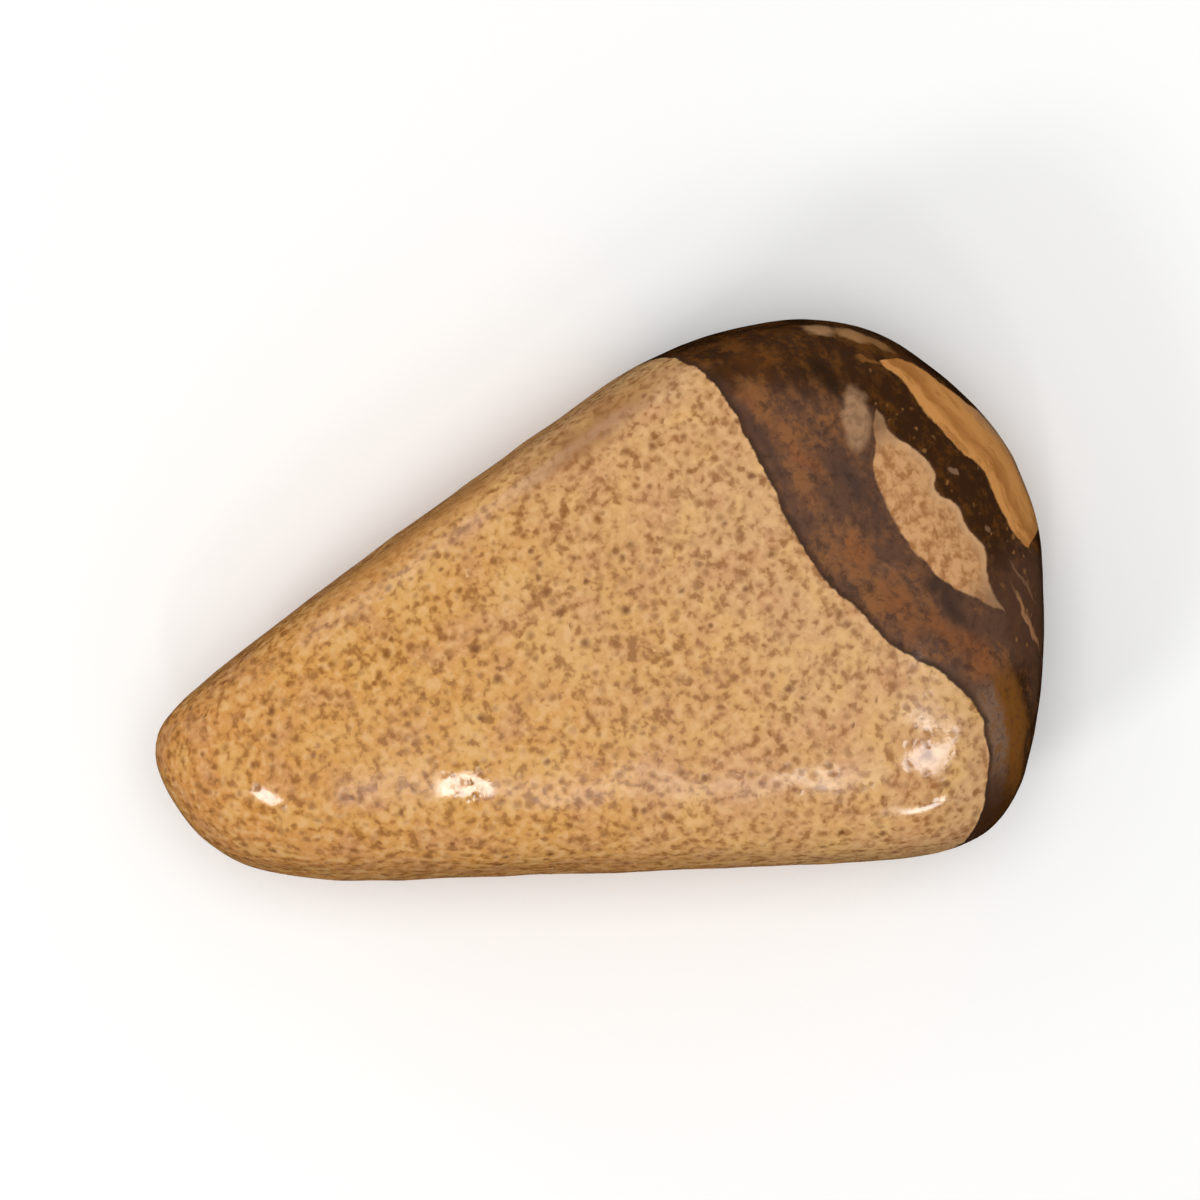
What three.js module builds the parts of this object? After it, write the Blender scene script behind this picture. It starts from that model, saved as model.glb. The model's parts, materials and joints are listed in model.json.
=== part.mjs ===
// A tumbled picture jasper stone: one solid pebble, a rounded triangle in plan,
// with a broad top face, a narrow steep flank, a bevelled front edge and a
// shoulder that slopes away at its thick end. It rests on a small flat spot.
// Millimetres, +Z up. The origin is on the resting plane, below the middle of
// the stone's box, with the length along +X and the width along +Y.

import * as THREE from 'three';
import { mergeVertices } from 'three/addons/utils/BufferGeometryUtils.js';

// Driving dimensions
const LENGTH = 36;
const WIDTH = 22.8;
const THICKNESS = 13.8;

// The heart is the point inside the stone that the worn faces are measured from.
// The resting spot is worn flat at this depth below it.
const RESTING_DEPTH = 6.4;

// How sharply two worn faces meet: a higher number leaves a tighter edge.
const EDGE_SHARPNESS = 12;

// The long, low waves that tumbling leaves on a face: their height, their length
// and how far each set of them slants across the next axis.
const SWELL_HEIGHT = 0.08;
const SWELL_LENGTH = 13;
const SWELL_SLANT = 0.5;

// Each icosahedron face is divided this often along its edge.
const MESH_DETAIL = 15;

// Worn faces. The bearing turns from +X towards +Y, the rise is the tilt of the
// face's outward normal above the horizontal, both in degrees, and the distance
// is from the heart to the face.
const FLANKS = [
  { bearing: 126, rise: 3, distance: 7.1 },
  { bearing: 103, rise: 4, distance: 9.6 },
  { bearing: 56, rise: 6, distance: 15.8 },
  { bearing: 26, rise: 12, distance: 19.2 },
  { bearing: 1, rise: 8, distance: 18.5 },
  { bearing: -38, rise: 10, distance: 19.4 },
  { bearing: -88, rise: 8, distance: 10.8 },
  { bearing: -137, rise: 8, distance: 18.8 },
  { bearing: -172, rise: 5, distance: 21.9 },
];

const CROWN = [
  { bearing: -60, rise: 87, distance: 7.2 },
  { bearing: -88, rise: 59, distance: 10.1 },
  { bearing: -5, rise: 56, distance: 13.8 },
  { bearing: 33, rise: 57, distance: 12.6 },
  { bearing: 96, rise: 52, distance: 11.4 },
  { bearing: 126, rise: 57, distance: 8.1 },
  { bearing: -175, rise: 62, distance: 12.8 },
];

const UNDERSIDE = [
  { bearing: -88, rise: -68, distance: 8.1 },
  { bearing: 126, rise: -64, distance: 7.2 },
  { bearing: 5, rise: -76, distance: 8.5 },
  { bearing: -172, rise: -78, distance: 7.9 },
  { bearing: -15, rise: -44, distance: 14.2 },
  { bearing: 60, rise: -48, distance: 11.6 },
  { bearing: 126, rise: -36, distance: 7.9 },
  { bearing: -170, rise: -42, distance: 15.2 },
  { bearing: -88, rise: -42, distance: 9.9 },
];

// Outward unit normal of a worn face.
function faceNormal({ bearing, rise }) {
  const azimuth = THREE.MathUtils.degToRad(bearing);
  const elevation = THREE.MathUtils.degToRad(rise);
  return new THREE.Vector3(
    Math.cos(azimuth) * Math.cos(elevation),
    Math.sin(azimuth) * Math.cos(elevation),
    Math.sin(elevation),
  );
}

const FACES = [...FLANKS, ...CROWN, ...UNDERSIDE].map((face) => ({
  normal: faceNormal(face),
  distance: face.distance,
}));

// Distance from the heart to the tumbled surface. Each face alone would stop the
// ray at distance / cosine. Adding powers of the inverse stops joins the faces
// and rounds the edges between them.
function blendedRadius(direction) {
  const sum = FACES.reduce((total, { normal, distance }) => {
    const inverseStop = Math.max(0, direction.dot(normal)) / distance;
    return total + inverseStop ** EDGE_SHARPNESS;
  }, 0);
  return sum ** (-1 / EDGE_SHARPNESS);
}

// Height of the low waves at a point, where three sets of them cross.
function swellHeight({ x, y, z }) {
  const turn = (2 * Math.PI) / SWELL_LENGTH;
  const crossing = [x + SWELL_SLANT * z, y - SWELL_SLANT * x, z + SWELL_SLANT * y];
  const waves = crossing.map((along, set) => Math.sin(along * turn + set));
  return (SWELL_HEIGHT * (waves[0] + waves[1] + waves[2])) / waves.length;
}

// The point of the surface in a direction. Below the resting depth the ray
// stops at the flat spot.
function surfacePoint(direction) {
  const smoothRadius = blendedRadius(direction);
  const radius = smoothRadius + swellHeight(direction.clone().multiplyScalar(smoothRadius));
  const flatStop = direction.z < 0 ? RESTING_DEPTH / -direction.z : Infinity;
  return direction.clone().multiplyScalar(Math.min(radius, flatStop));
}

// Brings the box to its exact size, standing on z = 0 about the Z axis.
function fitToSize(geometry, size) {
  geometry.computeBoundingBox();
  const measured = geometry.boundingBox.getSize(new THREE.Vector3());
  geometry.scale(size.x / measured.x, size.y / measured.y, size.z / measured.z);
  geometry.computeBoundingBox();
  const { min, max } = geometry.boundingBox;
  geometry.translate(-(min.x + max.x) / 2, -(min.y + max.y) / 2, -min.z);
}

// A closed ball of near-equal triangles with each corner moved to the surface.
function stoneGeometry() {
  const ball = new THREE.IcosahedronGeometry(1, MESH_DETAIL);
  ball.deleteAttribute('normal');
  ball.deleteAttribute('uv');
  const geometry = mergeVertices(ball);
  const size = new THREE.Vector3(LENGTH, WIDTH, THICKNESS);
  const corners = geometry.attributes.position;
  const corner = new THREE.Vector3();
  for (let i = 0; i < corners.count; i += 1) {
    corner.fromBufferAttribute(corners, i).multiply(size).normalize();
    corner.copy(surfacePoint(corner));
    corners.setXYZ(i, corner.x, corner.y, corner.z);
  }
  fitToSize(geometry, size);
  geometry.computeVertexNormals();
  return geometry;
}

// Sandy tan jasper with a high polish.
function jasperMaterial() {
  return new THREE.MeshStandardMaterial({
    color: 0xcb9963,
    roughness: 0.25,
    metalness: 0,
  });
}

const stone = new THREE.Mesh(stoneGeometry(), jasperMaterial());
stone.name = 'stone';

const tumbledStone = new THREE.Group();
tumbledStone.add(stone);

export default tumbledStone;
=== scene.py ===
"""A tumbled picture jasper stone, dressed around its solid.

The pebble is wrapped onto the solid stone and smoothed to a tumbler's polish. Its
speckled sand, dark ribbons, lens and outer beds are colour in the stone itself, laid
out in the stone's own bedding, so they run through it and come out on every side.
"""

import json
import math

import bpy
from bpy.props import FloatProperty, FloatVectorProperty, IntProperty, PointerProperty
from mathutils import Matrix, Vector

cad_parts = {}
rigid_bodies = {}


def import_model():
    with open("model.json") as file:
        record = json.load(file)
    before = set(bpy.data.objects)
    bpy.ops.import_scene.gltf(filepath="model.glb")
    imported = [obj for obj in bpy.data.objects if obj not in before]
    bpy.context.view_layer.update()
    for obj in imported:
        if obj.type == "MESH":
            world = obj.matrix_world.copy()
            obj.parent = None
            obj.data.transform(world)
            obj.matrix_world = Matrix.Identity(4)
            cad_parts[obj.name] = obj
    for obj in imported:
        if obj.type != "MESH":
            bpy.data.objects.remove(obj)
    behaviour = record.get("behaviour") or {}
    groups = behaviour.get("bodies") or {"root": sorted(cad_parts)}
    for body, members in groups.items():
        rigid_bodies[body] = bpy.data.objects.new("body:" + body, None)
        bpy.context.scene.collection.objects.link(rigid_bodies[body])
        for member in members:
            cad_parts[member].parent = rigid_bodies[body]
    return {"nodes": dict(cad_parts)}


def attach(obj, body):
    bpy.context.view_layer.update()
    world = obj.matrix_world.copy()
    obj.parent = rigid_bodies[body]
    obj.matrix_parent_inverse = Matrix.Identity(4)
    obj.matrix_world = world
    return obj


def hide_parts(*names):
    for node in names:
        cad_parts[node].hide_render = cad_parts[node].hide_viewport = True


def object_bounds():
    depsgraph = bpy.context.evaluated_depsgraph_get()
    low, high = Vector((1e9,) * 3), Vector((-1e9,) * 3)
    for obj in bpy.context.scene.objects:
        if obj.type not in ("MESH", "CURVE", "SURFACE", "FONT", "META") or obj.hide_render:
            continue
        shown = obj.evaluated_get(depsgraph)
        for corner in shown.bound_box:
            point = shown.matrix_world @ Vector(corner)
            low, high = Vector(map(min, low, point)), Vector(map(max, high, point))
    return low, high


bl_info = {
    "name": "Picture Jasper Stone",
    "version": (1, 0, 0),
    "blender": (4, 5, 0),
    "location": "View3D > Sidebar > Jasper",
    "description": "Adds a tumbled picture jasper stone and a plain studio around it",
    "category": "Add Mesh",
}

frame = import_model()
SOLID_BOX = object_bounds()

# A millimetre in metres, and how far the stone stays inside its solid's box.
MM = 0.001
HAIR = 0.0005 * MM

# Corners of the solid's triangles that lie this close together are the same corner.
SAME_CORNER = 0.01 * MM

# Share of the way that one smoothing pass moves a corner.
SMOOTHING = 0.5

# The bedding: how far its strike turns from +X and how far its beds lean from upright,
# in degrees. A place in it is given along the strike, across the beds and up them, in
# millimetres from the middle of the stone's top.
STRIKE_BEARING = -52
LEAN_ANGLE = 15

# How the beds wander: how far, in lumps of which size, and the heights between which
# it sets in, all in millimetres. Then their fine wiggle: how far, in lumps of which size.
BED_DRIFTS = (
    (5.0, 9.0, (-4.0, -9.0)),
    (2.0, 3.5, (-4.5, -7.5)),
)
WIGGLE_REACH, WIGGLE_SIZE = 0.4, 0.8

# How far the first ribbon reaches past the sand at the front, in millimetres.
RIBBON_WIDTH = 4.0

# Edges of the beds, as (along, across) in millimetres.
SAND_EDGE = [
    (-8.0, 9.3), (-5.9, 8.9), (-4.8, 8.95), (-3.1, 8.75), (-1.2, 8.3), (1.0, 7.9), (3.0, 7.55),
    (5.0, 7.45), (6.6, 7.8), (8.0, 7.9), (9.7, 8.45), (11.2, 9.15), (12.5, 9.4), (13.9, 9.1),
    (15.4, 8.15), (16.4, 7.3), (17.0, 5.8),
]
LENS_NEAR_EDGE = [
    (0.5, 14.2), (0.9, 13.2), (1.9, 12.35), (2.9, 11.55), (4.2, 11.2), (5.7, 11.0), (6.9, 11.1),
    (8.2, 11.45), (9.3, 12.1), (10.4, 12.8), (11.0, 13.4),
]
LENS_FAR_EDGE = [
    (0.5, 13.1), (1.0, 13.4), (1.7, 13.25), (2.8, 13.6), (4.1, 13.85), (4.9, 13.35), (5.8, 13.75),
    (6.8, 13.6), (7.7, 13.7), (8.7, 13.1), (9.7, 12.85), (10.4, 12.8), (11.0, 12.4),
]
SLIVER_NEAR_EDGE = [
    (-1.2, 16.6), (-0.6, 15.0), (0.4, 15.25), (1.9, 15.2), (3.2, 15.35), (4.3, 15.45), (5.3, 15.8),
    (6.1, 15.7), (7.4, 15.4), (8.7, 15.5), (9.0, 15.7), (9.6, 16.6),
]
SLIVER_FAR_EDGE = [
    (-1.2, 13.6), (-0.7, 14.9), (-0.5, 15.5), (-0.1, 16.1), (0.8, 16.7), (1.6, 17.0), (2.7, 17.45),
    (3.4, 17.85), (4.2, 18.4), (5.0, 18.8), (6.0, 19.0), (7.4, 18.6), (8.6, 17.2), (9.0, 15.7),
    (9.6, 14.8),
]

# How softly beds meet: where past its edge a bed starts to show, and where it is full.
SAND_TO_RIBBON = (-0.05, 0.05)
BED_TO_BED = (-0.06, 0.08)
SLIVER_TO_OUTER = (-0.1, 0.15)

# How far the lens closes in from each edge below the stone's top, and the heights
# between which it does.
LENS_PINCH = 1.5
PINCH_HEIGHTS = (0.2, -3.5)

# The few stains in the sand: centre and radius.
SAND_STAINS = [
    ((-3.6, 2.3, 1.9), 0.55),
    ((1.5, 3.6, 2.0), 0.4),
    ((-1.2, -5.9, 2.0), 0.5),
    ((-6.4, -0.6, 1.8), 0.4),
]

# Clouds in the sand, painted shade on the upper-left side, then soft clouds in the first ribbon:
# centre, radii, strength and colour.
SAND_TINT_AND_SHADE = [
    # Painted shade: a brown band along the upper-left bevel by the top corner.
    ((-5.6, 4.2, -0.6), (1.0, 4.8, 2.8), 0.75, (152, 100, 54)),
    # A darker orange strip low on the upper-left flank: partly the sand's colour, partly painted
    # shade.
    ((-7.0, -2.3, -4.2), (1.2, 8.5, 2.6), 0.65, (196, 134, 70)),
]
RIBBON_CLOUDS = [
    ((0.6, 9.65, 2.3), (1.0, 0.4, 1.5), 0.6, (146, 88, 50)),
    ((1.9, 9.0, 2.3), (1.2, 0.35, 1.5), 0.4, (128, 84, 58)),
    ((4.9, 9.1, 2.0), (1.0, 0.6, 1.5), 0.6, (146, 88, 48)),
    ((7.9, 9.2, 1.7), (1.7, 0.7, 1.5), 0.5, (140, 86, 48)),
    ((11.0, 10.7, 1.0), (1.5, 0.8, 1.5), 0.65, (140, 84, 48)),
    ((9.6, 10.1, 1.4), (1.4, 0.6, 1.5), 0.55, (142, 86, 48)),
    ((-2.6, 9.45, 2.0), (1.0, 0.45, 1.5), 0.5, (134, 82, 50)),
    ((-4.0, 10.9, 1.4), (1.6, 0.9, 1.5), 0.4, (108, 62, 22)),
    ((-1.2, 8.8, 2.1), (1.6, 0.5, 1.5), 0.6, (76, 56, 48)),
    ((-4.2, 9.5, 1.6), (1.6, 0.6, 1.5), 0.7, (62, 36, 15)),
    ((-1.5, 12.6, 2.1), (1.3, 0.7, 1.5), 0.75, (38, 26, 17)),
    ((3.0, 10.7, 2.3), (2.4, 0.6, 1.5), 0.75, (74, 55, 48)),
    ((8.4, 11.1, 1.6), (2.4, 0.5, 1.5), 0.75, (62, 46, 40)),
    ((16.6, 7.4, -1.8), (2.8, 2.8, 4.0), 0.95, (62, 34, 13)),
]

# The blurred spot before the lens: centre, radii and turn in the bedding.
LENS_SPOT = ((0.6, 12.4, 2.4), (1.45, 0.68, 2.0), -37)

# Single marks in the dark beds: centre, radii, turn in the bedding, strength and colour.
BED_MARKS = [
    ((-3.2, 14.1, 0.3), (0.75, 0.45, 1.6), 47, 0.85, (182, 138, 96)),
    ((-2.2, 15.1, 0.4), (0.8, 0.52, 1.4), 40, 0.85, (180, 132, 86)),
    ((-1.35, 15.7, 0.3), (0.9, 0.34, 1.0), 25, 0.8, (150, 108, 64)),
    ((-0.95, 14.6, 1.4), (0.65, 0.15, 1.0), 40, 0.8, (138, 88, 42)),
    ((4.65, 14.45, 1.2), (0.24, 0.16, 0.5), 20, 0.6, (158, 122, 94)),
    ((7.3, 14.35, 0.8), (0.24, 0.15, 0.5), -20, 0.55, (150, 114, 86)),
    ((11.2, 13.72, -0.6), (1.6, 0.15, 2.5), -3, 0.8, (170, 122, 82)),
    ((9.9, 14.5, -0.4), (1.2, 0.1, 2.0), 4, 0.6, (136, 100, 76)),
]

# Golden pores in the nearly black beds: spacing, width and the share of places with one.
PORE_SPACING, PORE_WIDTH, PORE_SHARE = 0.42, 0.22, 0.4

# Added to the distance of a speck that is left out.
FAR_OFF = 10

# Sizes of the lumps in the sand's colour, in millimetres: its broad change, its patches
# and its tint.
BROAD_SIZE, PATCH_SIZE, TINT_SIZE = 7.0, 2.4, 1.6

# The grain that the polish leaves: its size in millimetres and its share of a pit's depth.
GRAIN_SIZE, GRAIN_SHARE = 0.12, 0.3

# The gloss of the stone and of the board, the same all over.
STONE_GLOSS = {"IOR": 1.54}
BOARD_GLOSS = {"Specular IOR Level": 0.1}

# Where the polish took best: centre in the bedding, radii and strength.
BRIGHT_PATCHES = [
    ((-2.1, -14.6, -5.2), (1.2, 1.2, 3.0), 1.0),
    ((2.6, -8.4, -2.9), (1.4, 1.4, 3.0), 1.0),
    ((10.9, 2.45, -0.3), (1.5, 1.5, 3.0), 0.6),
    ((13.0, 6.7, 0.6), (1.9, 1.9, 3.0), 1.0),
    ((14.6, 5.6, -0.2), (1.4, 1.4, 3.0), 1.0),
    ((-5.7, -0.2, -1.8), (1.5, 2.6, 3.0), 0.5),
    ((-5.7, -10.7, -4.5), (1.5, 1.3, 3.0), 0.7),
]


def linear(red, green, blue):
    """A display colour from 0 to 255 on the sRGB curve, as the linear one of a material."""
    def channel(value):
        share = value / 255
        return share / 12.92 if share <= 0.04045 else ((share + 0.055) / 1.055) ** 2.4
    return (channel(red), channel(green), channel(blue))


def length_property(name, description, default):
    """A size in millimetres that a user may change."""
    return FloatProperty(name=name, description=description, default=default * MM, min=0,
                         unit="LENGTH", precision=5)


def colour_property(name, description, shade):
    """A colour that a user may change, given as a display colour."""
    return FloatVectorProperty(name=name, description=description, default=linear(*shade),
                               subtype="COLOR", size=3, min=0, max=1)


class StoneShape(bpy.types.PropertyGroup):
    """How finely the stone is modelled and how its surface is worn."""

    detail: IntProperty(
        name="Detail", description="Times that the starting ball is divided",
        default=7, min=4, max=7)
    wraps: IntProperty(
        name="Wraps", description="Times that the ball is drawn onto the solid and eased",
        default=6, min=1, max=12)
    easing: IntProperty(
        name="Easing", description="Smoothing passes after each wrap",
        default=12, min=1, max=60)
    polish: IntProperty(
        name="Polish", description="Smoothing passes after the last wrap",
        default=5, min=1, max=60)
    ripple_size: length_property("Ripple size", "Length of the faint ripples", 4.5)
    ripple_depth: length_property("Ripple depth", "Depth of the faint ripples", 0.25)


class SandLook(bpy.types.PropertyGroup):
    """The speckled sandy body."""

    gold: colour_property("Golden sand", "Ground colour towards the tip", (211, 154, 83))
    blush: colour_property("Pinkish sand", "Ground colour towards the ribbons", (208, 160, 108))
    # Amber is partly the sand's colour and partly painted shade low on the flanks.
    amber_and_shade: colour_property("Amber sand", "Ground colour low on the flanks", (202, 136, 68))
    rose: colour_property("Rose tint", "Tint of the pinker patches", (198, 142, 98))
    honey: colour_property("Honey tint", "Tint of the yellower patches", (222, 174, 104))
    pale: colour_property("Pale sand", "Haloes around the specks", (228, 182, 128))
    speck: colour_property("Specks", "The common brown specks", (140, 86, 36))
    dark_speck: colour_property("Dark specks", "The darkest specks", (112, 64, 24))
    stain: colour_property("Stains", "The few purplish red stains", (150, 90, 70))
    speck_spacing: length_property("Speck spacing", "Usual distance between specks", 0.5)
    speck_width: length_property("Speck width", "Usual width of a speck", 0.38)


class RibbonLook(bpy.types.PropertyGroup):
    """The dark ribbons, the lens between them and the outer beds."""

    margin: colour_property("Margin", "Thin line where the ribbon meets the sand", (60, 41, 31))
    plum: colour_property("Plum", "Purple grey part of the first ribbon", (97, 68, 52))
    russet: colour_property("Russet", "Red brown part of the first ribbon", (136, 89, 54))
    # The haze strip is partly the bed's colour and partly painted sheen along the right end's
    # ridge.
    haze_and_sheen: colour_property("Haze", "Paler purple grey bed at the front", (130, 100, 80))
    rust: colour_property("Rust", "Orange brown bed at the front", (122, 76, 29))
    umber: colour_property("Umber", "Dark olive brown at the back", (100, 60, 22))
    pitch: colour_property("Pitch", "Nearly black beds", (60, 36, 18))
    pore: colour_property("Pores", "Golden pores in the pitch", (160, 112, 62))
    lens: colour_property("Lens", "Ground colour of the lens", (212, 160, 110))
    lens_mottle: colour_property("Lens mottle", "Orange brown mottle in the lens", (158, 104, 58))
    lens_rim: colour_property("Lens rim", "Paler far rim of the lens", (222, 178, 132))
    spot: colour_property("Spot", "Blurred grey tan spot before the lens", (166, 127, 94))
    sliver: colour_property("Sliver", "Orange tan outer bed", (214, 149, 82))
    sliver_streak: colour_property("Sliver streaks", "Streaks in the outer bed", (162, 100, 44))
    sliver_rim: colour_property("Sliver rim", "Greyer edge of the outer bed", (182, 146, 116))


class PolishLook(bpy.types.PropertyGroup):
    """The polish of the surface."""

    roughness: FloatProperty(
        name="Roughness", description="Roughness where the polish took least",
        default=0.27, min=0, max=1, subtype="FACTOR")
    best_shine: FloatProperty(
        name="Best shine", description="How much smoother the stone is where the polish took best",
        default=0.16, min=0, max=1, subtype="FACTOR")
    pit_depth: length_property("Pit depth", "How deep the specks are worn below the polish", 0.007)


class StudioSetting(bpy.types.PropertyGroup):
    """The floor, the lights and the camera."""

    floor: colour_property("Floor", "Colour of the floor", (250, 250, 249))
    highlight: FloatProperty(
        name="Highlights", description="Brightness of the lights that show in the polish",
        default=15, min=0)
    fill_power: FloatProperty(
        name="Overhead light", description="Power of the broad overhead light",
        default=3.8, min=0, unit="POWER")
    side_power: FloatProperty(
        name="Side light", description="Power of the soft light from the side",
        default=0.42, min=0, unit="POWER")
    camera_height: FloatProperty(
        name="Camera height", description="Height of the camera",
        default=0.6, min=0.1, unit="LENGTH")
    stone_share: FloatProperty(
        name="Stone in picture", description="Share of the picture's width that the stone fills",
        default=0.74, min=0.1, max=1, subtype="FACTOR")


# ---------------------------------------------------------------- materials


class Wire:
    """A value that runs between a material's nodes. Arithmetic on it adds Math nodes."""

    def __init__(self, finish, socket):
        self.finish = finish
        self.socket = socket

    def __add__(self, other):
        return self.finish.math("ADD", self, other)

    def __radd__(self, other):
        return self.finish.math("ADD", other, self)

    def __sub__(self, other):
        return self.finish.math("SUBTRACT", self, other)

    def __rsub__(self, other):
        return self.finish.math("SUBTRACT", other, self)

    def __mul__(self, other):
        return self.finish.math("MULTIPLY", self, other)

    def __rmul__(self, other):
        return self.finish.math("MULTIPLY", other, self)

    def __truediv__(self, other):
        return self.finish.math("DIVIDE", self, other)

    def __rtruediv__(self, other):
        return self.finish.math("DIVIDE", other, self)


class Finish:
    """A material whose nodes are added by node() and by arithmetic on wires."""

    def __init__(self, name):
        self.material = bpy.data.materials.new(name)
        self.material.use_nodes = True
        self.tree = self.material.node_tree
        self.tree.nodes.clear()

    def node(self, kind, settings=None, inputs=None):
        """Adds a node: its settings first, then its sockets. Returns its outputs by name."""
        added = self.tree.nodes.new(kind)
        for name, value in (settings or {}).items():
            if name == "stops":
                self._set_stops(added.color_ramp, value)
            elif name == "points":
                self._set_points(added.mapping, value)
            else:
                setattr(added, name, value)
        for key, value in (inputs or {}).items():
            socket = self._input(added, key)
            if isinstance(value, Wire):
                self.tree.links.new(value.socket, socket)
            else:
                socket.default_value = value
        return {socket.name: Wire(self, socket) for socket in added.outputs if socket.enabled}

    @staticmethod
    def _input(added, key):
        """An input socket of a node, by its number or its name."""
        if isinstance(key, int):
            return added.inputs[key]
        return next(socket for socket in added.inputs if socket.name == key and socket.enabled)

    @staticmethod
    def _set_stops(ramp, stops):
        """Gives a colour ramp its stops, in order."""
        while len(ramp.elements) < len(stops):
            ramp.elements.new(1.0)
        for element, (position, shade) in zip(ramp.elements, stops):
            element.position = position
            element.color = (*shade, 1.0)

    @staticmethod
    def _set_points(mapping, points):
        """Gives a curve its points, in order."""
        curve = mapping.curves[0]
        while len(curve.points) < len(points):
            curve.points.new(1.0, 1.0)
        for point, place in zip(curve.points, points):
            point.location = place
        mapping.update()

    def math(self, operation, first, second):
        """One operation on two numbers."""
        inputs = {0: first, 1: second}
        return self.node("ShaderNodeMath", {"operation": operation}, inputs)["Value"]

    def vector(self, operation, first, second):
        """One operation on two vectors."""
        inputs = {0: first, 1: second}
        return self.node("ShaderNodeVectorMath", {"operation": operation}, inputs)["Vector"]

    def step(self, value, low, high):
        """0 below low, 1 above high, and a smooth rise between them."""
        return self.node("ShaderNodeMapRange", {"interpolation_type": "SMOOTHSTEP"}, {
            "Value": value, "From Min": low, "From Max": high, "To Min": 0.0, "To Max": 1.0,
        })["Result"]

    def layers(self, value, stops, top):
        """Colours that follow each other as a value goes from 0 to top."""
        shares = [(position / top, shade) for position, shade in stops]
        return self.node("ShaderNodeValToRGB", {"stops": shares}, {"Fac": value / top})["Color"]

    def between(self, value, low, high, soft):
        """1 between low and high, 0 outside, with soft edges."""
        risen = self.step(value, low - soft, low + soft)
        return risen * self.step(value, high + soft, high - soft)

    def blend(self, share, first, second):
        """The first colour, turning to the second as the share goes from 0 to 1."""
        def shade(value):
            return value if isinstance(value, Wire) else (*value, 1.0)
        return self.node("ShaderNodeMix", {"data_type": "RGBA"}, {
            "Factor": share, "A": shade(first), "B": shade(second),
        })["Result"]

    def noise(self, place, size, detail, roughness=0.5):
        """Soft noise about 0.5, with lumps of a size in millimetres."""
        return self.node("ShaderNodeTexNoise", None, {
            "Vector": place, "Scale": 1 / size, "Detail": detail, "Roughness": roughness,
        })["Fac"]

    def scaled(self, place, factor):
        """A place with all its coordinates multiplied by one number."""
        return self.vector("MULTIPLY", place, (factor, factor, factor))

    def jostled(self, place, size, reach):
        """A place moved about by noise, so that what reads it isn't regular."""
        shift = self.node("ShaderNodeTexNoise", None, {
            "Vector": place, "Scale": 1 / size, "Detail": 1.0})["Color"]
        centred = self.vector("SUBTRACT", shift, (0.5, 0.5, 0.5))
        return self.vector("ADD", place, self.scaled(centred, reach))

    def apart(self, vector):
        """The three parts of a vector."""
        parts = self.node("ShaderNodeSeparateXYZ", None, {"Vector": vector})
        return parts["X"], parts["Y"], parts["Z"]

    def together(self, x, y, z):
        """A vector from its three parts."""
        return self.node("ShaderNodeCombineXYZ", None, {"X": x, "Y": y, "Z": z})["Vector"]

    def edge(self, along, points):
        """The edge of a bed: its place across the beds at each place along them."""
        starts, heights = zip(*points)
        first, last = starts[0], starts[-1]
        low, high = min(heights), max(heights)
        steps = [((x - first) / (last - first), (y - low) / (high - low)) for x, y in points]
        share = self.node("ShaderNodeMapRange", None, {
            "Value": along, "From Min": first, "From Max": last, "To Min": 0.0, "To Max": 1.0,
        })["Result"]
        height = self.node("ShaderNodeFloatCurve", {"points": steps}, {"Value": share})["Value"]
        return height * (high - low) + low

    def bumped(self, height, depth, strength=1.0):
        """The normal of a surface whose height goes from 0 to 1 over a depth in metres."""
        return self.node("ShaderNodeBump", None, {
            "Height": height, "Strength": strength, "Distance": depth})["Normal"]

    def surface(self, colour, roughness, normal, constants):
        """A surface shader."""
        return self.node("ShaderNodeBsdfPrincipled", None, {
            "Base Color": colour, "Roughness": roughness, "Normal": normal, **constants})["BSDF"]

    def output(self, surface):
        """Joins a surface shader to the material's output. Returns the material."""
        self.node("ShaderNodeOutputMaterial", None, {"Surface": surface})
        return self.material


def bedding_turn():
    """The turn from the stone's axes to along, across and up the beds."""
    strike, lean = math.radians(STRIKE_BEARING), math.radians(LEAN_ANGLE)
    along = Vector((math.cos(strike), math.sin(strike), 0))
    level = Vector((-along.y, along.x, 0))
    across = level * math.cos(lean) - Vector((0, 0, math.sin(lean)))
    return Matrix((along, across, along.cross(across)))


def in_bedding(finish):
    """The place in the bedding, in millimetres from the middle of the stone's top."""
    turn = bedding_turn()
    top = Vector((0, 0, SOLID_BOX[1][2] / MM))
    local = finish.node("ShaderNodeTexCoord")["Object"]
    return finish.node("ShaderNodeMapping", {"vector_type": "POINT"}, {
        "Vector": local,
        "Location": -(turn @ top),
        "Rotation": turn.to_euler(),
        "Scale": (1 / MM, 1 / MM, 1 / MM),
    })["Vector"]


def lump(finish, place, centre, radii, turn=0.0):
    """How far a place is from a lump's centre: 1 at the lump's edge."""
    local = finish.node("ShaderNodeMapping", {"vector_type": "TEXTURE"}, {
        "Vector": place,
        "Location": centre,
        "Rotation": (0, 0, math.radians(turn)),
        "Scale": radii,
    })["Vector"]
    return finish.node("ShaderNodeVectorMath", {"operation": "LENGTH"}, {0: local})["Value"]


def specks(finish, place, spacing, width, presence):
    """How far a place is from a speck's middle, 1 at its edge, and the speck's random tone."""
    cells = finish.node("ShaderNodeTexVoronoi", None, {"Vector": place, "Scale": 1 / spacing})
    growth, chance, tone = finish.apart(cells["Color"])
    reach = (0.55 + 0.6 * growth) * (0.5 * width / spacing)
    missing = finish.math("GREATER_THAN", chance, presence)
    return cells["Distance"] / reach + FAR_OFF * missing, tone


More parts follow.
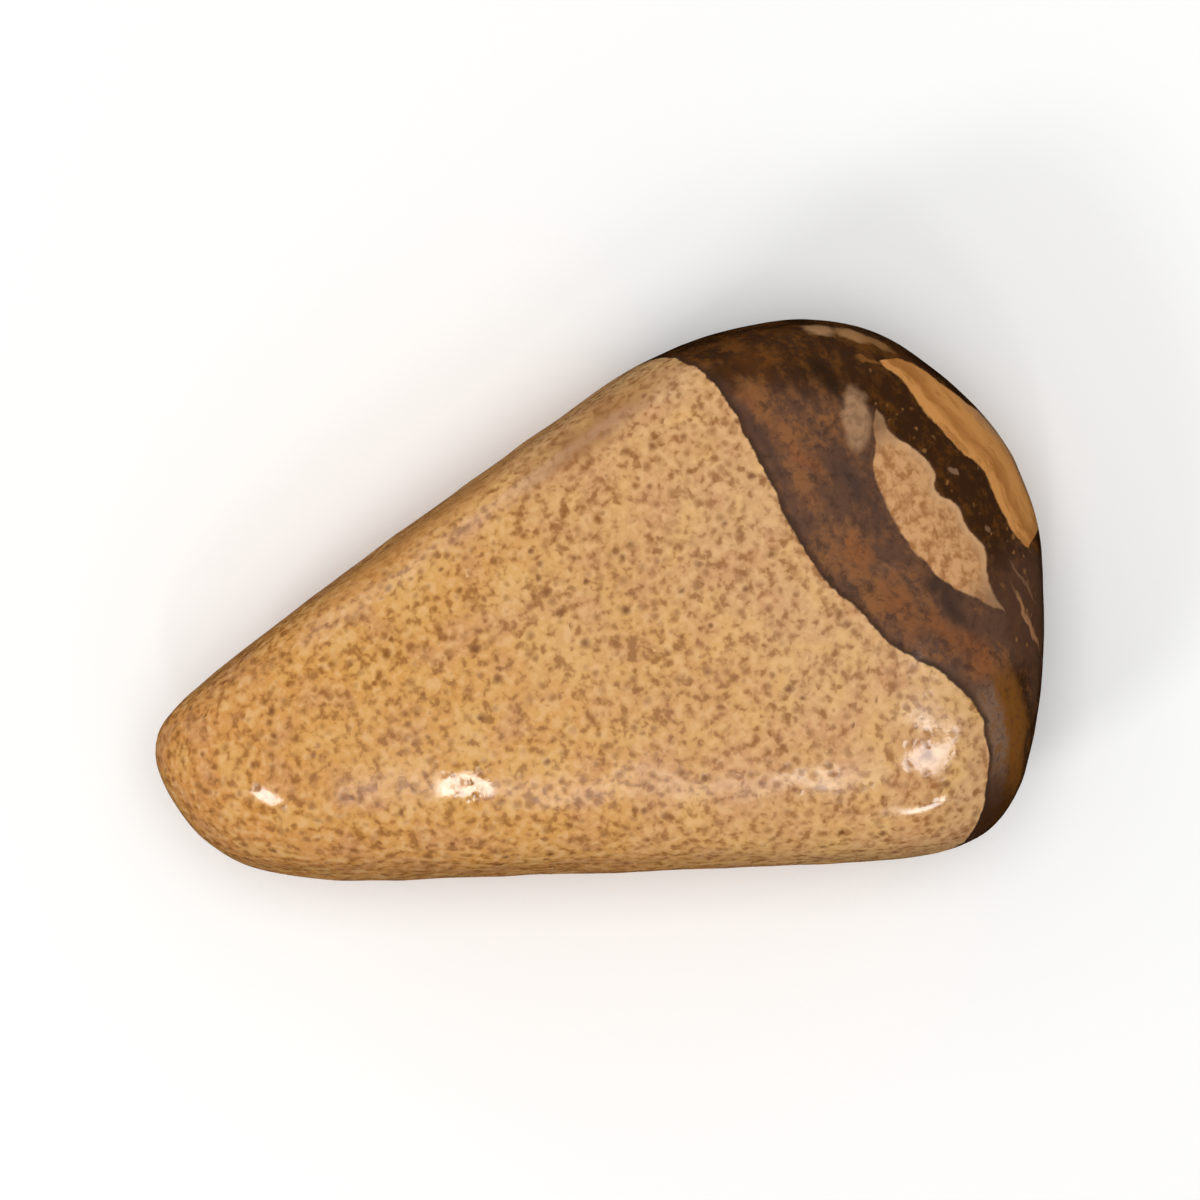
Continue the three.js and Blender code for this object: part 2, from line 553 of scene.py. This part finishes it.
def clouded(finish, place, colour, clouds):
    """A colour with soft clouds of other colours in it."""
    for centre, radii, strength, shade in clouds:
        cloud = finish.step(lump(finish, place, centre, radii), 1.2, 0.2)
        colour = finish.blend(strength * cloud, colour, linear(*shade))
    return colour


def grain(finish, place):
    """The fine grain that the polish leaves, as a relief."""
    return GRAIN_SHARE * finish.noise(place, GRAIN_SIZE, 1.0)


def sand_ground(finish, look, place, across, height, patches, tint):
    """The sand between the specks: golden towards the tip, pinker towards the ribbons."""
    broad = finish.noise(place, BROAD_SIZE, 1.0)
    lean = finish.step(across + 14 * (broad - 0.5) + 9 * (patches - 0.5), -8, 8)
    ground = finish.blend(lean, look.gold, look.blush)
    # Amber low on the flanks, by height below the top: partly the sand's colour, partly painted
    # shade.
    ground = finish.blend(0.75 * finish.step(height, -2.5, -8), ground, look.amber_and_shade)
    ground = finish.blend(0.48 * finish.step(tint, 0.5, 0.66), ground, look.rose)
    return finish.blend(0.48 * finish.step(tint, 0.5, 0.34), ground, look.honey)


def speckled(finish, look, place, ground, presence):
    """The ground with grit, haloes and specks in it, and how much of a place is speck."""
    spacing, width = look.speck_spacing / MM, look.speck_width / MM
    grit = finish.noise(place, 0.8 * spacing, 2.0)
    ground = finish.blend(0.5 * finish.step(grit, 0.5, 0.32), ground, look.pale)
    ground = finish.blend(0.7 * finish.step(grit, 0.5, 0.7), ground, look.speck)
    near, tone = specks(finish, place, spacing, width, presence)
    cover = finish.step(near, 1.6, 0.1)
    speck = finish.blend(finish.step(tone, 0.8, 1.0), look.speck, look.dark_speck)
    colour = finish.blend((0.45 + 0.4 * tone) * cover, ground, speck)
    fine, _ = specks(finish, place, 0.7 * spacing, 0.6 * width, presence - 0.2)
    return finish.blend(0.4 * finish.step(fine, 1.6, 0.2), colour, look.speck), cover


def sand_shine(finish, place, patches):
    """How well the sand took the polish, from 0 to 1."""
    shine = 0.7 * finish.step(patches, 0.5, 0.66)
    for centre, radii, strength in BRIGHT_PATCHES:
        patch = strength * finish.step(lump(finish, place, centre, radii), 1.1, 0.6)
        shine = finish.math("MAXIMUM", shine, patch)
    return shine


def sand_surface(finish, look, polish, place, across, height):
    """The speckled sand, with its soft clouds of partly painted shade, and few stains."""
    patches = finish.noise(place, PATCH_SIZE, 2.0)
    tint = finish.noise(place, TINT_SIZE, 3.0)
    loose = finish.jostled(place, 0.35, 0.18)
    ground = sand_ground(finish, look, place, across, height, patches, tint)
    presence = 0.85 + 1.8 * (patches - 0.5) + 1.2 * (tint - 0.5)
    colour, speck = speckled(finish, look, loose, ground, presence)
    # Painted shade on the upper-left side, laid over the sand as soft clouds.
    colour = clouded(finish, finish.jostled(place, 1.5, 1.0), colour, SAND_TINT_AND_SHADE)
    for centre, radius in SAND_STAINS:
        spot = finish.step(lump(finish, loose, centre, (radius, radius, radius)), 1.0, 0.4)
        colour = finish.blend(0.5 * spot, colour, look.stain)
    shine = sand_shine(finish, loose, patches)
    roughness = polish.roughness - polish.best_shine * shine + 0.05 * speck
    normal = finish.bumped(grain(finish, place) - speck, polish.pit_depth)
    return finish.surface(colour, roughness, normal, STONE_GLOSS)


def ribbon_colour(finish, look, place, along, past_sand, height):
    """The first ribbon, from its margin at the sand to the lens."""
    beds = finish.together(0.5 * along, past_sand, 0.6 * height)
    cloud = finish.noise(beds, 1.0, 4.0, 0.6)
    mottle = finish.noise(finish.jostled(place, 0.5, 0.4), 0.4, 4.0, 0.65)
    warm = cloud + 0.5 * (mottle - 0.5)
    middle = 0.12 * finish.between(past_sand, 0.6, 1.9, 0.5) - 0.06
    colour = finish.blend(finish.step(warm + middle, 0.4, 0.68), look.plum, look.russet)
    level = past_sand + 0.9 * (cloud - 0.5) + 0.5 * (mottle - 0.5)
    # At the right end: a pale purple-grey strip along the ridge, partly the bed's colour and
    # partly painted sheen, then rust, then near-black at the far edge, partly the bed's colour and
    # partly painted shade where the end turns away.
    front = finish.layers(level, [
        (0.96, look.haze_and_sheen), (1.36, look.rust), (2.08, look.rust), (2.56, look.pitch),
    ], RIBBON_WIDTH)
    front = finish.blend(0.6 * finish.step(mottle, 0.48, 0.62), front, look.rust)
    colour = finish.blend(finish.step(along, 11.5, 13), colour, front)
    back = finish.blend(finish.step(warm, 0.4, 0.66), look.pitch, look.umber)
    leaning = along - 0.9 * (past_sand - 2) + 3 * (cloud - 0.5)
    colour = finish.blend(0.95 * finish.step(leaning, -1.2, -3.8), colour, back)
    loose = finish.jostled(place, 1.0, 1.2)
    colour = clouded(finish, loose, colour, RIBBON_CLOUDS)
    dusk = finish.step(mottle, 0.52, 0.3)
    colour = finish.blend(0.5 * dusk, colour, look.margin)
    return finish.blend(0.8 * finish.step(past_sand, 0.4, 0.05), colour, look.margin)


def lens_colour(finish, look, place, past_far):
    """The sandy lens, mottled orange brown, with a paler far rim."""
    mottle = finish.noise(finish.jostled(place, 0.5, 0.3), 0.42, 2.5, 0.6)
    colour = finish.blend(0.85 * finish.step(mottle, 0.36, 0.68), look.lens, look.lens_mottle)
    pale = finish.step(past_far + 0.8 * (mottle - 0.5), -0.5, -0.05)
    return finish.blend(0.55 * pale, colour, look.lens_rim)


def pitch_colour(finish, look, place, along, height):
    """The second ribbon: nearly black with golden pores, and plum where it widens."""
    cloud = finish.noise(place, 0.6, 5.0, 0.65)
    colour = finish.blend(0.75 * finish.step(cloud, 0.46, 0.7), look.pitch, look.umber)
    widened = finish.step(along + 3 * (cloud - 0.5), 7.5, 10)
    near_top = finish.step(height + 3 * (cloud - 0.5), -4.5, -1.5)
    colour = finish.blend(0.6 * widened * near_top, colour, look.plum)
    loose = finish.jostled(place, 0.4, 0.35)
    near, tone = specks(finish, loose, PORE_SPACING, PORE_WIDTH, PORE_SHARE)
    return finish.blend((0.15 + 0.5 * tone) * finish.step(near, 1.3, 0.4), colour, look.pore)


def sliver_colour(finish, look, along, past_near, height):
    """The smooth outer bed: orange tan, with a darker streak along its middle."""
    beds = finish.together(0.3 * along, past_near, 0.4 * height)
    streak = finish.noise(beds, 0.5, 4.0, 0.6)
    level = past_near + 1.2 * (streak - 0.5)
    middle = finish.between(level, 0.55, 1.0, 0.3)
    colour = finish.blend(0.75 * middle, look.sliver, look.sliver_streak)
    colour = finish.blend(0.5 * finish.step(streak, 0.5, 0.66), colour, look.sliver_streak)
    return finish.blend(0.7 * finish.step(level, 1.7, 2.6), colour, look.sliver_rim)


def outer_colour(finish, look, along, across, height):
    """The beds outside the sliver: dark, with browner streaks."""
    streak = finish.noise(finish.together(0.25 * along, across, 0.3 * height), 0.55, 5.0, 0.6)
    colour = finish.blend(finish.step(streak, 0.42, 0.66), look.pitch, look.umber)
    return finish.blend(0.5 * finish.step(streak, 0.58, 0.72), colour, look.russet)


def with_pitch(finish, look, bands, place, past_far):
    """The bands with the second ribbon beyond the lens, which frays at the front."""
    along, _, height = finish.apart(place)
    loosening = finish.step(along, 10.5, 13)
    fray = 0.2 + 0.6 * loosening
    frayed_far = past_far + 3.5 * loosening * (finish.noise(place, 1.6, 4.0, 0.6) - 0.5)
    beyond = finish.step(frayed_far, -1 * fray, fray) * finish.step(along, -1.8, 0.3)
    return finish.blend(beyond, bands, pitch_colour(finish, look, place, along, height))


def with_lens(finish, look, bands, place, past_near, past_far):
    """The bands with the sandy lens in them, closing towards its ends and below the top."""
    along, _, height = finish.apart(place)
    inside = finish.math("MINIMUM", past_near, -1 * past_far)
    inside = inside - LENS_PINCH * finish.step(height, *PINCH_HEIGHTS)
    strong = 0.4 + 0.6 * finish.step(along, 1.3, 2.6) * finish.step(along, 10.0, 8.2)
    lens = lens_colour(finish, look, place, past_far)
    return finish.blend(strong * finish.step(inside, *BED_TO_BED), bands, lens)


def with_outer_beds(finish, look, bands, place, across):
    """The bands with the orange tan sliver and the dark beds outside it."""
    along, _, height = finish.apart(place)
    past_near = across - finish.edge(along, SLIVER_NEAR_EDGE)
    past_far = across - finish.edge(along, SLIVER_FAR_EDGE)
    outside = finish.step(finish.math("MINIMUM", past_near, past_far), *SLIVER_TO_OUTER)
    bands = finish.blend(outside, bands, outer_colour(finish, look, along, across, height))
    inside = finish.step(finish.math("MINIMUM", past_near, -1 * past_far), *BED_TO_BED)
    return finish.blend(inside, bands, sliver_colour(finish, look, along, past_near, height))


def bands_surface(finish, look, polish, place, across, past_sand):
    """The dark ribbons with the lens between them, and the outer beds."""
    along, _, height = finish.apart(place)
    past_near = across - finish.edge(along, LENS_NEAR_EDGE)
    past_far = across - finish.edge(along, LENS_FAR_EDGE)
    ragged = finish.jostled(place, 0.6, 0.5)
    dapple = finish.step(finish.noise(place, 0.3, 3.0), 0.35, 0.6)

    bands = ribbon_colour(finish, look, place, along, past_sand, height)
    bands = with_pitch(finish, look, bands, place, past_far)
    spot = finish.step(lump(finish, ragged, *LENS_SPOT), 1.1, 0.6)
    bands = finish.blend((0.6 + 0.4 * dapple) * spot, bands, look.spot)
    bands = with_lens(finish, look, bands, place, past_near, past_far)
    bands = with_outer_beds(finish, look, bands, place, across)
    for centre, radii, turn, strength, shade in BED_MARKS:
        mark = finish.step(lump(finish, ragged, centre, radii, turn), 1.15, 0.5)
        bands = finish.blend(strength * mark, bands, linear(*shade))

    roughness = polish.roughness - polish.best_shine * (0.7 + 0.2 * dapple)
    normal = finish.bumped(grain(finish, place), polish.pit_depth)
    return finish.surface(bands, roughness, normal, STONE_GLOSS)


def jasper_material(sand, ribbon, polish):
    """Picture jasper: speckled sand, dark ribbons with a lens, and outer beds."""
    finish = Finish("Picture jasper")
    place = in_bedding(finish)
    along, straight_across, height = finish.apart(place)
    across = straight_across + WIGGLE_REACH * (finish.noise(place, WIGGLE_SIZE, 4.0, 0.6) - 0.5)
    for reach, size, heights in BED_DRIFTS:
        drift = reach * (finish.noise(place, size, 1.0) - 0.5)
        across = across + drift * finish.step(height, *heights)
    past_sand = across - finish.edge(along, SAND_EDGE)
    return finish.output(finish.node("ShaderNodeMixShader", None, {
        0: finish.step(past_sand, *SAND_TO_RIBBON),
        1: sand_surface(finish, sand, polish, place, straight_across, height),
        2: bands_surface(finish, ribbon, polish, place, across, past_sand),
    })["Shader"])


# ---------------------------------------------------------------- the stone


def pick(piece):
    """Makes one object the only one that is selected."""
    bpy.ops.object.select_all(action="DESELECT")
    piece.select_set(True)
    bpy.context.view_layer.objects.active = piece


def apply_modifier(piece, kind, **settings):
    """Adds a modifier to a piece, sets it and applies it."""
    modifier = piece.modifiers.new(kind.title(), kind)
    for name, value in settings.items():
        setattr(modifier, name, value)
    pick(piece)
    bpy.ops.object.modifier_apply(modifier=modifier.name)


def rounded_copy(solid):
    """A copy of a solid to wrap the surface onto, its triangles joined and facets rounded."""
    pick(solid)
    bpy.ops.object.duplicate()
    copy = bpy.context.active_object
    bpy.ops.object.parent_clear(type="CLEAR_KEEP_TRANSFORM")
    bpy.ops.object.mode_set(mode="EDIT")
    bpy.ops.mesh.select_all(action="SELECT")
    bpy.ops.mesh.remove_doubles(threshold=SAME_CORNER)
    bpy.ops.object.mode_set(mode="OBJECT")
    apply_modifier(copy, "SUBSURF", levels=2, render_levels=2)
    return copy


def ball_in_box(box, detail):
    """A divided ball, drawn out to fill a box."""
    lowest, highest = Vector(box[0]), Vector(box[1])
    bpy.ops.object.select_all(action="DESELECT")
    bpy.ops.mesh.primitive_ico_sphere_add(
        subdivisions=detail, radius=0.5, location=(lowest + highest) / 2, scale=highest - lowest)
    bpy.ops.object.transform_apply(location=True, rotation=True, scale=True)
    return bpy.context.active_object


def fit_in_box(piece, box):
    """Stretches a piece to fill a box, a hair inside it, in its mesh."""
    corners = [Vector(corner) for corner in piece.bound_box]
    low = Vector([min(corner[axis] for corner in corners) for axis in range(3)])
    high = Vector([max(corner[axis] for corner in corners) for axis in range(3)])
    hair = Vector((HAIR, HAIR, HAIR))
    lowest, highest = Vector(box[0]) + hair, Vector(box[1]) - hair
    wanted, measured = highest - lowest, high - low
    stretch = Vector([wanted[axis] / measured[axis] for axis in range(3)])
    pick(piece)
    piece.scale = stretch
    piece.location = lowest - low * stretch
    bpy.ops.object.transform_apply(location=True, rotation=True, scale=True)


def shape_stone(shape):
    """The worn and polished pebble, wrapped onto its solid."""
    solid = frame["nodes"]["stone"]
    target = rounded_copy(solid)
    stone = ball_in_box(SOLID_BOX, shape.detail)
    stone.name = "jasper_stone"
    for passes in [shape.easing] * shape.wraps + [shape.polish]:
        apply_modifier(stone, "SHRINKWRAP", target=target, wrap_method="NEAREST_SURFACEPOINT")
        apply_modifier(stone, "SMOOTH", factor=SMOOTHING, iterations=passes)
    bpy.data.objects.remove(target)
    ripple = bpy.data.textures.new("Ripple", "CLOUDS")
    ripple.noise_scale = shape.ripple_size
    apply_modifier(stone, "DISPLACE", texture=ripple, strength=shape.ripple_depth)
    fit_in_box(stone, SOLID_BOX)
    pick(stone)
    bpy.ops.object.shade_smooth()
    return stone


class JASPER_OT_add_stone(bpy.types.Operator):
    """Add the tumbled stone, wrapped onto its solid and finished as picture jasper"""

    bl_idname = "jasper.add_stone"
    bl_label = "Add Stone"
    bl_options = {"REGISTER", "UNDO"}

    def execute(self, context):
        scene = context.scene
        stone = shape_stone(scene.jasper_shape)
        stone.data.materials.append(
            jasper_material(scene.jasper_sand, scene.jasper_ribbon, scene.jasper_polish))
        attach(stone, "root")
        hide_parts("stone")
        return {"FINISHED"}


# ---------------------------------------------------------------- the studio


# The floor's width, the places and sizes of the two broad lights, and how near the camera
# sees, in metres. Then the brightness of the white all around.
FLOOR_WIDTH = 4
OVERHEAD_PLACE, OVERHEAD_SIZE = (0, 0, 0.9), (0.5, 0.5)
SIDE_PLACE, SIDE_SIZE = (-0.3, 0.4, 0.06), (0.3, 0.2)
NEAREST_SEEN = 0.01
SURROUND_STRENGTH = 0.45

# The small soft boxes that show as highlights in the polish: name, place, width, height,
# share of the highlights' brightness, and whether it also lights the stone.
HIGHLIGHTS = (
    ("left light", (-0.284, -0.261, 0.348), 0.1, 0.11, 0.95, True),
    ("front light", (-0.015, -0.274, 0.436), 0.025, 0.08, 1.4, True),
    ("front right light", (0.057, -0.23, 0.458), 0.04, 0.05, 0.9, False),
    ("right light", (0.283, -0.158, 0.4), 0.14, 0.2, 0.62, False),
    ("low right light", (0.256, -0.399, 0.208), 0.2, 0.05, 0.85, False),
    ("back left light", (-0.295, 0.404, 0.08), 0.12, 0.16, 0.09, True),
)


def board_material(shade):
    """Matt white board with a fine tooth."""
    finish = Finish("White board")
    place = finish.scaled(finish.node("ShaderNodeTexCoord")["Object"], 1 / MM)
    tooth = finish.noise(place, 0.6, 3.0)
    colour = finish.blend(0.03 * tooth, tuple(shade), (0.8, 0.8, 0.8))
    normal = finish.bumped(tooth, 0.02 * MM, 0.2)
    return finish.output(finish.surface(colour, 0.8, normal, BOARD_GLOSS))


def add_floor(studio):
    """The white floor, which doesn't show in the polish."""
    bpy.ops.object.select_all(action="DESELECT")
    bpy.ops.mesh.primitive_plane_add(size=FLOOR_WIDTH)
    floor = bpy.context.active_object
    floor.name = "floor"
    floor.data.materials.append(board_material(studio.floor))
    floor.visible_glossy = False


def add_light(name, place, size, power):
    """A soft box at a place, aimed at the stone."""
    bpy.ops.object.light_add(type="AREA", location=place)
    light = bpy.context.active_object
    light.name = name
    light.rotation_euler = (-Vector(place)).to_track_quat("-Z", "Y").to_euler()
    light.data.shape = "RECTANGLE"
    light.data.size, light.data.size_y = size
    light.data.energy = power
    return light


def add_lights(studio):
    """The two broad lights, which don't show in the polish, and the highlights."""
    overhead = add_light("overhead light", OVERHEAD_PLACE, OVERHEAD_SIZE, studio.fill_power)
    overhead.visible_glossy = False
    for name, place, width, height, share, also_lights in HIGHLIGHTS:
        power = share * studio.highlight * math.pi * width * height
        light = add_light(name, place, (width, height), power)
        light.visible_diffuse = also_lights
    side = add_light("side light", SIDE_PLACE, SIDE_SIZE, studio.side_power)
    side.visible_glossy = False


def set_surroundings(scene):
    """An even white all around, which doesn't show in the polish."""
    world = bpy.data.worlds.new("Studio")
    scene.world = world
    world.cycles_visibility.glossy = False
    world.use_nodes = True
    background = world.node_tree.nodes["Background"]
    background.inputs["Color"].default_value = (1, 1, 1, 1)
    background.inputs["Strength"].default_value = SURROUND_STRENGTH


def add_camera(scene, studio):
    """A camera that looks straight down on the stone."""
    bpy.ops.object.camera_add(location=(0, 0, studio.camera_height), rotation=(0, 0, 0))
    camera = bpy.context.active_object
    camera.name = "camera"
    lowest, highest = SOLID_BOX
    middle = (lowest[2] + highest[2]) / 2
    field = (highest[0] - lowest[0]) / studio.stone_share
    camera.data.lens = camera.data.sensor_width * (studio.camera_height - middle) / field
    camera.data.clip_start = NEAREST_SEEN
    scene.camera = camera


class JASPER_OT_set_studio(bpy.types.Operator):
    """Set a white floor, soft lights and an overhead camera around the stone"""

    bl_idname = "jasper.set_studio"
    bl_label = "Set Studio"
    bl_options = {"REGISTER", "UNDO"}

    def execute(self, context):
        scene = context.scene
        studio = scene.jasper_studio
        add_floor(studio)
        add_lights(studio)
        set_surroundings(scene)
        scene.view_settings.view_transform = "Standard"
        add_camera(scene, studio)
        return {"FINISHED"}


# ---------------------------------------------------------------- the sidebar


class JASPER_PT_sidebar(bpy.types.Panel):
    """The stone's sizes, colours and studio"""

    bl_label = "Picture Jasper"
    bl_idname = "JASPER_PT_sidebar"
    bl_space_type = "VIEW_3D"
    bl_region_type = "UI"
    bl_category = "Jasper"

    def draw(self, context):
        for title, name, operator in SECTIONS:
            box = self.layout.box()
            box.label(text=title)
            group = getattr(context.scene, name)
            for setting in group.bl_rna.properties:
                if setting.identifier not in ("rna_type", "name"):
                    box.prop(group, setting.identifier)
            if operator:
                box.operator(operator)


# Title, name on the scene and operator of each group of settings.
SECTIONS = (
    ("Shape", "jasper_shape", None),
    ("Sand", "jasper_sand", None),
    ("Ribbons", "jasper_ribbon", None),
    ("Polish", "jasper_polish", JASPER_OT_add_stone.bl_idname),
    ("Studio", "jasper_studio", JASPER_OT_set_studio.bl_idname),
)

GROUPS = {
    "jasper_shape": StoneShape,
    "jasper_sand": SandLook,
    "jasper_ribbon": RibbonLook,
    "jasper_polish": PolishLook,
    "jasper_studio": StudioSetting,
}

CLASSES = (*GROUPS.values(), JASPER_OT_add_stone, JASPER_OT_set_studio, JASPER_PT_sidebar)


def register():
    """Registers the classes and gives the scene their settings."""
    for item in CLASSES:
        bpy.utils.register_class(item)
    for name, group in GROUPS.items():
        setattr(bpy.types.Scene, name, PointerProperty(type=group))


def unregister():
    """Takes the settings and the classes away again."""
    for name in GROUPS:
        delattr(bpy.types.Scene, name)
    for item in reversed(CLASSES):
        bpy.utils.unregister_class(item)


def main():
    """Makes the stone and its studio."""
    register()
    bpy.ops.jasper.add_stone()
    bpy.ops.jasper.set_studio()


if __name__ == "__main__":
    main()
